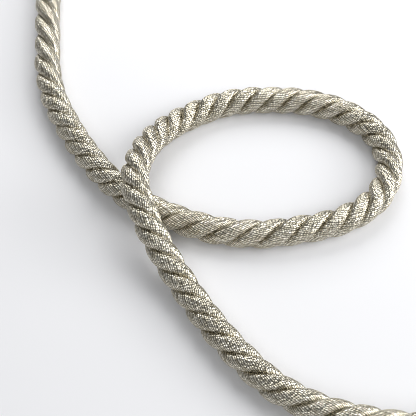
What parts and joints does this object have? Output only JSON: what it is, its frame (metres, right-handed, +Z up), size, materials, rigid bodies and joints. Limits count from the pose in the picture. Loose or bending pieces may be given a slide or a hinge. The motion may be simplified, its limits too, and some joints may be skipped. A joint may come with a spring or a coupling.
{
  "type": "twisted cord trim",
  "caption": "Soft metallic twisted cord trim, thick strands laid to the left, lying in one loose loop that crosses over itself, with plain ends.",
  "frame": {"origin": "middle of the bounding box on the surface that the cord lies on", "axes": "+Z up from that surface, +Y away from the viewer along the cord's longer spread, +X to the right, towards the round end of the loop"},
  "size_m": [0.1248, 0.1784, 0.0159],
  "materials": {
    "metallic_yarn": "silvery champagne metallic yarn, bright on its crests and dark olive in the grooves"
  },
  "bodies": {
    "root": {"strand_1": "metallic_yarn", "strand_2": "metallic_yarn", "strand_3": "metallic_yarn"}
  },
  "joints": []
}
